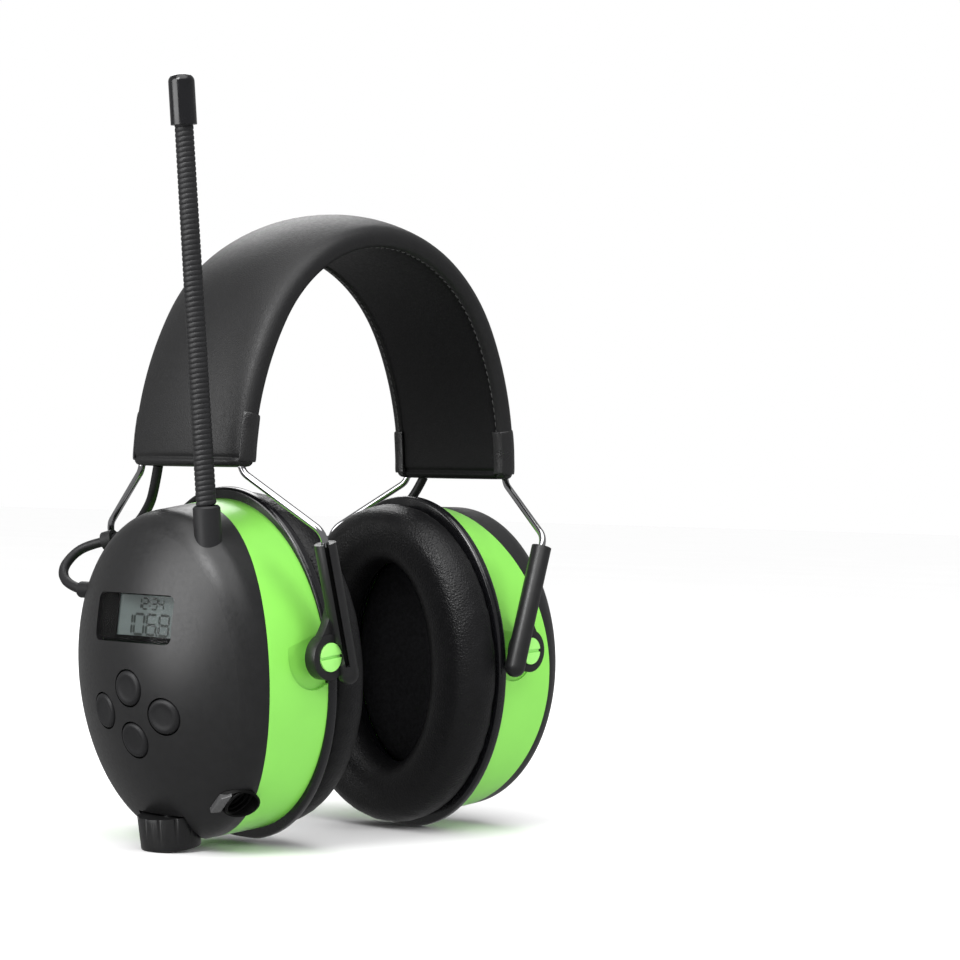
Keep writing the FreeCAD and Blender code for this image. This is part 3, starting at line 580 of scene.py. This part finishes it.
def make_edge_tabs(arch):
    """A folded strip over the band's edge, at both of its ends, front and rear."""
    length = BAND_LENGTH / MM
    outline = [(-4.25, 20.6), (-4.35, 21.8), (-4.4, 23.0), (-4.0, 24.4), (-2.9, 25.35), (-1.2, 25.75),
               (0.5, 25.6), (1.7, 24.9), (2.6, 23.6)]
    steps = [(1.7, 0.35), (2.2, 0.10), (3.2, 0.0), (6.5, 0.08), (9.5, 0.0), (13.5, 0.06),
             (15.9, 0.1), (16.5, 0.42)]
    for end in ("left", "right"):
        for name, way in (("front", 1), ("rear", -1)):
            strip = begin(bpy.ops.mesh.primitive_grid_add, "band_edge_tab_%s_%s" % (end, name),
                          x_subdivisions=len(steps) - 1, y_subdivisions=len(outline) - 1, size=1.0)
            corners = sorted(strip.data.vertices, key=lambda v: (round(v.co.x, 4), round(v.co.y, 4)))
            for index, corner in enumerate(corners):
                x, sunk = steps[index // len(outline)]
                y, z = outline[index % len(outline)]
                x = x if end == "left" else length - x
                corner.co = (x * MM, (y * (1 - 0.06 * sunk)) * MM, (z - sunk) * way * MM)
            face_outwards(strip, merge=0.001 * MM)
            outward = sum(face.normal.z * face.center.z for face in strip.data.polygons)
            if outward < 0:
                edit(strip)
                bpy.ops.mesh.select_all(action="SELECT")
                bpy.ops.mesh.flip_normals()
                leave()
            apply_modifier(strip, "SOLIDIFY", thickness=0.75 * MM, offset=-1.0)
            apply_modifier(strip, "BEVEL", width=0.2 * MM, segments=2, limit_method="ANGLE")
            apply_modifier(strip, "SUBSURF", levels=1, render_levels=1)
            bend_over_head(strip, arch)
            smooth(strip, 50)
            dress(strip, TAB_SKIN, "headband")


def make_headband():
    arch = arch_curve()
    cover = padded_strap(arch)
    dress(cover, LEATHERETTE, "headband", ("headband_cover", "headband_foam"))
    cover.data.materials.append(LINING)
    for face in cover.data.polygons:
        middle = face.center
        flat = Vector((middle.x, middle.z, 0))
        face.material_index = 1 if is_lining(flat, middle.y, face.normal) else 0
    make_stitches(arch)
    make_edge_tabs(arch)
    bpy.data.objects.remove(arch)


# ---------------------------------------------------------------- cushions and foam

def swell(pad, voxel, pressure, most, held):
    """Blows the sewn skin up round its foam, with the held part kept where it is glued."""
    apply_modifier(pad, "REMESH", mode="VOXEL", voxel_size=voxel * MM)
    start = [corner.co.copy() for corner in pad.data.vertices]
    glued = pad.vertex_groups.new(name="glued")
    glued.add([i for i, place in enumerate(start) if held(place)], 1.0, "REPLACE")
    take(pad)
    cloth = pad.modifiers.new("Skin", "CLOTH")
    skin = cloth.settings
    skin.quality = 5
    skin.mass = 0.2
    skin.tension_stiffness = skin.compression_stiffness = 12.0
    skin.shear_stiffness = 5.0
    skin.bending_stiffness = 0.4
    skin.use_pressure = True
    skin.uniform_pressure_force = pressure
    skin.effector_weights.gravity = 0.0
    skin.vertex_group_mass = "glued"
    scene = bpy.context.scene
    for frame_number in range(1, 21):
        scene.frame_set(frame_number)
    bpy.ops.object.modifier_apply(modifier=cloth.name)
    for corner, place in zip(pad.data.vertices, start):
        moved = corner.co - place
        if moved.length > most * MM:
            corner.co = place + moved.normalized() * most * MM
    scene.frame_set(1)
    pad.vertex_groups.clear()
    apply_modifier(pad, "SMOOTH", factor=0.5, iterations=3)


def fit_pad(pad, side, skin, node):
    """Mirrors a pad for the left cup, rounds it and glues it into its cup."""
    if side == "left":
        pad.scale = (-1, 1, 1)
        settle(pad)
        face_outwards(pad)
    apply_modifier(pad, "SUBSURF", levels=1, render_levels=1)
    onto_cup(pad, side)
    smooth(pad, 60)
    dress(pad, skin, side + "_cup", (node + side,))


def make_cushion(side):
    profile = [(40.2, 50.2, -8.6), (41.8, 51.8, -9.6), (42.5, 52.5, -12.0), (42.6, 52.6, -15.0),
               (42.1, 52.1, -18.6), (40.6, 50.7, -21.4), (38.0, 48.3, -23.2), (34.4, 45.2, -23.9),
               (30.4, 41.8, -24.0), (26.6, 38.6, -23.4), (23.6, 36.0, -21.8), (21.6, 34.2, -19.4),
               (20.7, 33.3, -16.4), (20.4, 32.9, -12.5), (20.6, 33.1, -8.7)]
    pad = oval_rings("cushion_pad_" + side, profile, closed_ring=True)
    swell(pad, 2.6, 3.0, 0.8, lambda place: place.x > -9.6 * MM)
    fit_pad(pad, side, CUSHION_SKIN, "ear_cushion_")


def make_foam(side):
    profile = [(22.6, 34.6, -2.7), (23.4, 35.4, -3.2), (23.6, 35.6, -5.0), (22.6, 34.6, -6.4),
               (19.4, 31.2, -6.5), (15.5, 26.5, -5.7), (11.0, 20.5, -4.9), (6.0, 12.0, -4.5),
               (2.0, 4.0, -4.4)]
    pad = oval_rings("ear_foam_" + side, profile, count=64, cap=True)
    fit_pad(pad, side, DARK_FOAM, "foam_insert_")


# ---------------------------------------------------------------- audio socket

AUX_MOUTH = Vector((-21.0, -28.0, -42.0)) * MM
AUX_INWARDS = Vector((0, 0.775, 0.632)).normalized()
COVER_NORMAL = Vector((-0.42, -0.70, -0.58)).normalized()
SLEEVE_R, SLEEVE_LENGTH, SLEEVE_DEPTH = 5.35, 16.0, 6.3
# Each corner of the lip: how far along the cover, how far up it, and how far off it
LIP_CORNERS = ((5.2, -3.9, 0.5), (7.6, -5.4, -0.3), (6.9, 0.9, -0.2), (4.6, 3.6, 0.8))


def make_socket_sleeve():
    """The dark ribbed sleeve round the socket, cut flush with the cover; its black is deepened as painted
    shade for the deep hole.
    """
    sleeve = begin(bpy.ops.mesh.primitive_cylinder_add, "socket_sleeve", vertices=48,
                   radius=SLEEVE_R * MM, depth=SLEEVE_LENGTH * MM, end_fill_type="NOTHING")
    sleeve.rotation_euler = AUX_INWARDS.to_track_quat("Z", "Y").to_euler()
    sleeve.location = AUX_MOUTH + AUX_INWARDS * (SLEEVE_DEPTH - SLEEVE_LENGTH / 2) * MM
    settle(sleeve)
    edit(sleeve)
    bpy.ops.mesh.select_all(action="SELECT")
    bpy.ops.mesh.bisect(plane_co=AUX_MOUTH - COVER_NORMAL * 0.1 * MM, plane_no=COVER_NORMAL,
                        clear_outer=True)
    leave()
    face_outwards(sleeve)
    apply_modifier(sleeve, "SOLIDIFY", thickness=0.7 * MM, offset=-1.0)
    ribs = [sleeve]
    for depth, radius in ((1.2, 4.5), (2.6, 4.2), (4.0, 3.9), (5.4, 3.5)):
        rib = begin(bpy.ops.mesh.primitive_torus_add, "socket_rib", major_radius=radius * MM,
                    minor_radius=0.45 * MM, major_segments=48, minor_segments=10)
        rib.rotation_euler = AUX_INWARDS.to_track_quat("Z", "Y").to_euler()
        rib.location = AUX_MOUTH + AUX_INWARDS * depth * MM
        settle(rib)
        ribs.append(rib)
    sleeve = join(ribs, "socket_sleeve")
    onto_cup(sleeve, "left")
    smooth(sleeve, 40)
    dress(sleeve, SOCKET_AND_SHADE_BLACK, "left_cup")


def make_socket_lip():
    """The slanted flat lip beside the socket, on the side away from the head; its grey is painted light on
    its slanted face.
    """
    across = Vector((-1, 0, 0))
    across = (across - COVER_NORMAL * across.dot(COVER_NORMAL)).normalized()
    upwards = COVER_NORMAL.cross(across)
    upwards = upwards if upwards.z > 0 else -upwards
    lip = begin(bpy.ops.mesh.primitive_plane_add, "socket_lip", size=1.0)
    corners = lip.data.vertices
    for corner, (along, up, off) in zip((corners[0], corners[1], corners[3], corners[2]), LIP_CORNERS):
        corner.co = AUX_MOUTH + (across * along + upwards * up) * MM + COVER_NORMAL * off * MM
    edit(lip)
    bpy.ops.mesh.select_all(action="SELECT")
    bpy.ops.mesh.extrude_region_move(
        TRANSFORM_OT_translate={"value": tuple(-COVER_NORMAL * 2.2 * MM)})
    leave()
    face_outwards(lip, merge=0.001 * MM)
    apply_modifier(lip, "BEVEL", width=0.3 * MM, segments=3, limit_method="ANGLE")
    onto_cup(lip, "left")
    smooth(lip, 30)
    dress(lip, PAINTED_LIGHT_GREY, "left_cup")


# ---------------------------------------------------------------- antenna

ANTENNA_X, ANTENNA_Y, ANTENNA_FOOT_Z = -20.0 * MM, -19.4 * MM, 45.6 * MM
ROD_R, ROD_TAPER = 2.86 * MM, 0.10


def make_antenna_rod():
    """A rubber whip moulded over a coil: one rib is screwed up the rod's length."""
    pitch, turns = 1.5 * MM, 80
    rib = begin(bpy.ops.mesh.primitive_plane_add, "antenna_ribbed_rod", size=1.0)
    edit(rib)
    bpy.ops.mesh.select_all(action="SELECT")
    bpy.ops.mesh.delete(type="ONLY_FACE")
    leave()
    edit(rib)
    bpy.ops.mesh.select_mode(type="VERT")
    bpy.ops.mesh.select_all(action="SELECT")
    bpy.ops.mesh.merge(type="CENTER")
    bpy.ops.transform.translate(value=(ROD_R, 0, ANTENNA_FOOT_Z))
    for out, up in ((0.17, 0.2), (0.04, 0.3), (-0.04, 0.3), (-0.17, 0.2)):
        bpy.ops.mesh.extrude_region_move(TRANSFORM_OT_translate={"value": (out * MM, 0, up * pitch)})
    leave()
    apply_modifier(rib, "SCREW", angle=2 * math.pi, screw_offset=pitch, iterations=turns,
                   steps=20, render_steps=20, axis="Z")
    edit(rib)
    bpy.ops.mesh.select_all(action="SELECT")
    bpy.ops.mesh.remove_doubles(threshold=0.02 * MM)
    bpy.ops.mesh.select_all(action="DESELECT")
    bpy.ops.mesh.select_non_manifold()
    bpy.ops.mesh.fill()
    leave()
    face_outwards(rib)
    for corner in rib.data.vertices:
        taper = 1 - ROD_TAPER * (corner.co.z - ANTENNA_FOOT_Z) / (pitch * turns)
        corner.co.x *= taper
        corner.co.y *= taper
    rib.location = (ANTENNA_X, ANTENNA_Y, 0)
    settle(rib)
    onto_cup(rib, "left")
    smooth(rib, 50)
    dress(rib, ANTENNA_RUBBER, "antenna", ("antenna_rod",))


# ---------------------------------------------------------------- arms

def make_slot_shades():
    """A dark rod of painted shade in each arm, between the slot and the wire."""
    low, high = -3.9, 32.8
    middle_height = (high + low) / 2
    for side in ("left", "right"):
        way = OUTWARD[side]
        for end, depth in (("front", -ARM_Y), ("rear", ARM_Y)):
            slot_shade = begin(bpy.ops.mesh.primitive_cylinder_add, "arm_lining_%s_%s" % (side, end),
                          vertices=32, radius=1.28 * MM, depth=38.0 * MM)
            edit(slot_shade)
            pick(slot_shade, lambda middle, normal: abs(normal.z) > 0.9)
            bpy.ops.mesh.inset(thickness=0.25 * MM)
            leave()
            slot_shade.rotation_euler = (0, way * ARM_LEAN, 0)
            slot_shade.location = (way * (ARM_X + middle_height * math.tan(ARM_LEAN)) * MM, depth * MM,
                              PIVOT_Z + middle_height * MM)
            settle(slot_shade)
            smooth(slot_shade, 40)
            dress(slot_shade, SOCKET_AND_SHADE_BLACK, side + "_yoke")


# ---------------------------------------------------------------- display

# Each stroke of a digit: where it lies, in half widths and half heights, and if it stands upright
SEGMENTS = {"top": (0, 1, 0), "middle": (0, 0, 0), "low": (0, -1, 0), "high left": (-1, 0.5, 1),
            "high right": (1, 0.5, 1), "low left": (-1, -0.5, 1), "low right": (1, -0.5, 1)}
LIT = {"0": "top,low,high left,high right,low left,low right",
       "1": "high right,low right", "2": "top,middle,low,high right,low left",
       "3": "top,middle,low,high right,low right", "4": "middle,high left,high right,low right",
       "6": "top,middle,low,high left,low left,low right",
       "8": "top,middle,low,high left,high right,low left,low right"}


PANEL_LEAN, PANEL_HALF_T = math.radians(5.0), 1.1


def bar(length, thick):
    """One dark stroke of the display: a flat hexagon with a little height, facing -X."""
    stroke = begin(bpy.ops.mesh.primitive_circle_add, "bar", vertices=6, radius=1.0, fill_type="NGON",
                   rotation=(0, -math.pi / 2, 0))
    settle(stroke)
    half, tip = length / 2, thick / 2
    outline = [(-half, 0), (-half + tip, tip), (half - tip, tip), (half, 0), (half - tip, -tip),
               (-half + tip, -tip)]
    for corner, (across, up) in zip(stroke.data.vertices, outline):
        corner.co = (0, -across * MM, up * MM)
    edit(stroke)
    bpy.ops.mesh.select_all(action="SELECT")
    bpy.ops.mesh.extrude_region_move(TRANSFORM_OT_translate={"value": (-0.05 * MM, 0, 0)})
    leave()
    face_outwards(stroke, merge=0.001 * MM)
    return stroke


def lay_on_panel(piece, forward):
    """Takes a piece made facing -X at the origin onto the display panel's face."""
    low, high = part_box("lcd_panel")
    middle = (Vector(low) + Vector(high)) / 2
    facing = Vector((-math.cos(PANEL_LEAN), 0, math.sin(PANEL_LEAN)))
    piece.rotation_euler = (0, PANEL_LEAN, 0)
    piece.location = middle + facing * (PANEL_HALF_T + forward) * MM
    settle(piece)


def make_digits():
    """Two rows of plain numbers and their dots, joined into one piece."""
    strokes = []
    rows = (("1068", 4.2, 6.0, 0.8, -2.6, (-7.9, -2.6, 2.8, 8.4)),
            ("1234", 2.3, 3.2, 0.55, 3.6, (-3.6, -0.6, 3.4, 6.4)))
    for text, wide, tall, thick, base, columns in rows:
        for digit, column in zip(text, columns):
            for name in LIT[digit].split(","):
                across, up, upright = SEGMENTS[name]
                stroke = bar((tall / 2 if upright else wide) - thick * 0.5, thick)
                stroke.rotation_euler = (math.pi / 2 if upright else 0, 0, 0)
                stroke.location = (0, -(column + across * wide / 2) * MM, (base + up * tall / 2) * MM)
                settle(stroke)
                strokes.append(stroke)
    for across, up in ((5.6, -5.6), (1.4, 4.3), (1.4, 2.9)):
        dot = bar(0.8, 0.7)
        dot.location = (0, -across * MM, up * MM)
        settle(dot)
        strokes.append(dot)
    digits = join(strokes, "display_digits")
    digits.location = (0, -2.4 * MM, 0)
    settle(digits)
    lay_on_panel(digits, 0.08)
    dress(digits, LCD_INK, "left_cup")


MASK_W, MASK_H = 33.6, 15.0


def make_display_mask():
    """The black border behind the window, wide at its left and thin round the rest: the thin part is
    printed, the wide left part is painted shade of the window's inner wall.
    """
    mask = begin(bpy.ops.mesh.primitive_plane_add, "display_mask", size=1.0,
                 rotation=(0, -math.pi / 2, 0))
    settle(mask)
    mask.scale = (1, MASK_W * MM, MASK_H * MM)
    settle(mask)
    edit(mask)
    bpy.ops.mesh.select_all(action="SELECT")
    bpy.ops.mesh.inset(thickness=1.0 * MM)
    leave()
    for corner in mask.data.vertices:
        if abs(corner.co.y) < (MASK_W / 2 - 0.6) * MM:
            corner.co.y = 9.4 * MM if corner.co.y > 0 else -15.9 * MM
            corner.co.z = math.copysign(6.1 * MM, corner.co.z)
    edit(mask)
    pick(mask, lambda middle, normal: abs(middle.z) < 1 * MM and -10 * MM < middle.y < 3 * MM)
    bpy.ops.mesh.delete(type="FACE")
    leave()
    edit(mask)
    bpy.ops.mesh.select_all(action="SELECT")
    bpy.ops.mesh.normals_make_consistent(inside=False)
    leave()
    apply_modifier(mask, "SOLIDIFY", thickness=0.25 * MM, offset=0.0)
    face_outwards(mask, merge=0.001 * MM)
    apply_modifier(mask, "BEVEL", width=0.08 * MM, segments=2, limit_method="ANGLE")
    lay_on_panel(mask, 0.45)
    dress(mask, BORDER_AND_SHADE_BLACK, "left_cup")


# ---------------------------------------------------------------- cords

def cup_place(x, y, z, side):
    """A point of a cup's own frame, in mm, taken to its place with x outwards on either side."""
    tilt = math.radians(OUTWARD[side] * CUP_TURN[side])
    return (PIVOT_X / MM + x * math.cos(tilt) + z * math.sin(tilt), y,
            PIVOT_Z / MM - x * math.sin(tilt) + z * math.cos(tilt))


CORD_EXIT = [(22.2, 36.4, 19.4), (22.2, 43.6, 20.4)]
LOWER_CORD = [(67.8, 50.2, 82.2), (61.2, 52.4, 87.4), (57.4, 49.6, 90.3), (54.7, 44.1, 91.8)]
UPPER_CORD = [(54.3, 43.3, 92.0), (53.5, 37.4, 93.8), (53.6, 31.0, 97.6), (55.4, 24.4, 102.6),
              (58.8, 18.2, 107.4), (60.5, 14.6, 115.9)]
CORD_R = 1.55


def make_cord(name, points, side, node):
    """A round cord along its route, bent smoothly between the two bodies that hold its ends."""
    way = OUTWARD[side]
    route = [Vector((way * x * MM, y * MM, z * MM)) for x, y, z in points]
    line = bpy.data.curves.new(name, "CURVE")
    line.dimensions = "3D"
    spline = line.splines.new("NURBS")
    spline.points.add(len(route) - 1)
    for knot, point in zip(spline.points, route):
        knot.co = (*point, 1.0)
    spline.order_u = 3
    spline.use_endpoint_u = True
    spline.resolution_u = 16
    carrier = bpy.data.objects.new(name + "_line", line)
    bpy.context.scene.collection.objects.link(carrier)
    bpy.context.view_layer.update()
    depsgraph = bpy.context.evaluated_depsgraph_get()
    bare = bpy.data.meshes.new_from_object(carrier.evaluated_get(depsgraph))
    line.bevel_depth = CORD_R * MM
    line.bevel_resolution = 5
    line.use_fill_caps = True
    bpy.context.view_layer.update()
    depsgraph = bpy.context.evaluated_depsgraph_get()
    tube = bpy.data.objects.new(name, bpy.data.meshes.new_from_object(carrier.evaluated_get(depsgraph)))
    bpy.context.scene.collection.objects.link(tube)
    bpy.data.objects.remove(carrier)
    face_outwards(tube)
    smooth(tube, 60)
    dress(tube, CORD_RUBBER, None, (node,))
    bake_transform(tube)


def make_cords():
    for side in ("left", "right"):
        lower = [cup_place(*point, side) for point in CORD_EXIT] + LOWER_CORD
        make_cord("cord_below_clip_" + side, lower, side, "cord_lower_" + side)
        make_cord("cord_above_clip_" + side, UPPER_CORD, side, "cord_upper_" + side)


# ---------------------------------------------------------------- studio

# Each lamp: its place, its aim, its size, its power, and if matt and shiny surfaces catch it
SOFTBOXES = {
    "key_softbox": ((-1.15, -0.25, 1.0), (0, 0, 0.1), 0.6, 13.0, True, True),
    "gloss_softbox": ((-1.1, 0.25, 0.3), (0, 0, 0.12), 0.9, 11.0, False, True),
    "rear_softbox": ((0.8, 1.1, 1.2), (0, 0, 0.12), 0.9, 9.0, True, True),
    "front_softbox": ((0.5, -1.3, 0.6), (0, 0, 0.1), 0.6, 8.0, True, False),
}


def make_studio():
    """A pale floor under a soft white sky: the sky is dimmer as a light than it looks."""
    floor = begin(bpy.ops.mesh.primitive_circle_add, "studio_floor", vertices=96, radius=40.0,
                  fill_type="NGON", location=(0, 0, -0.0002))
    settle(floor)
    paper = finish("floor_paper", (0.86, 0.86, 0.86), 0.8, grain=3.0, depth=0.01, cloudy=0.01,
                   cloud_size=400.0)
    floor.data.materials.append(paper)
    floor.visible_glossy = False
    world = bpy.data.worlds.new("studio_air")
    world.use_nodes = True
    nodes, links = world.node_tree.nodes, world.node_tree.links
    nodes["Background"].inputs["Color"].default_value = (1, 1, 1, 1)
    ray = nodes.new("ShaderNodeLightPath")
    level = nodes.new("ShaderNodeMapRange")
    level.inputs["To Min"].default_value = 0.34
    level.inputs["To Max"].default_value = 1.0
    links.new(ray.outputs["Is Camera Ray"], level.inputs["Value"])
    links.new(level.outputs["Result"], nodes["Background"].inputs["Strength"])
    bpy.context.scene.world = world
    bpy.context.scene.view_settings.view_transform = "Standard"
    for name, (place, aim, size, power, matt, shiny) in SOFTBOXES.items():
        lamp = bpy.data.lights.new(name, "AREA")
        lamp.shape = "DISK"
        lamp.size = size
        lamp.energy = power
        carrier = bpy.data.objects.new(name, lamp)
        carrier.location = place
        carrier.visible_diffuse = matt
        carrier.visible_glossy = shiny
        carrier.rotation_euler = (Vector(aim) - Vector(place)).to_track_quat("-Z", "Y").to_euler()
        bpy.context.scene.collection.objects.link(carrier)
    sky = bpy.data.lights.new("overhead_light", "SUN")
    sky.energy = 2.92
    sky.angle = math.radians(70)
    carrier = bpy.data.objects.new("overhead_light", sky)
    carrier.rotation_euler = Vector((-0.25, -0.3, 1.0)).to_track_quat("Z", "Y").to_euler()
    bpy.context.scene.collection.objects.link(carrier)


def make_camera():
    """A long lens at the front left, a little above the cups and slightly rolled."""
    turn, rise, roll = (math.radians(a) for a in (-48.915, -0.773, 1.732))
    back = Vector((math.sin(turn) * math.cos(rise), -math.cos(turn) * math.cos(rise), math.sin(rise)))
    right = Vector((math.cos(turn), math.sin(turn), 0))
    up = right.cross(-back)
    leaning_right = math.cos(roll) * right + math.sin(roll) * up
    leaning_up = -math.sin(roll) * right + math.cos(roll) * up
    lens = bpy.data.cameras.new("studio_camera")
    lens.lens = 95.45
    lens.sensor_width = 36.0
    camera = bpy.data.objects.new("studio_camera", lens)
    turned = Matrix((leaning_right, leaning_up, back)).transposed().to_4x4()
    camera.matrix_world = Matrix.Translation((-0.5844, -0.5733, 0.1037)) @ turned
    bpy.context.scene.collection.objects.link(camera)
    bpy.context.scene.camera = camera


make_camera()
make_studio()
make_cords()
repaint_kept_nodes()
round_moulded_parts()
make_headband()
for ear in ("left", "right"):
    make_cushion(ear)
    make_foam(ear)
make_antenna_rod()
make_socket_sleeve()
make_socket_lip()
make_slot_shades()
make_digits()
make_display_mask()
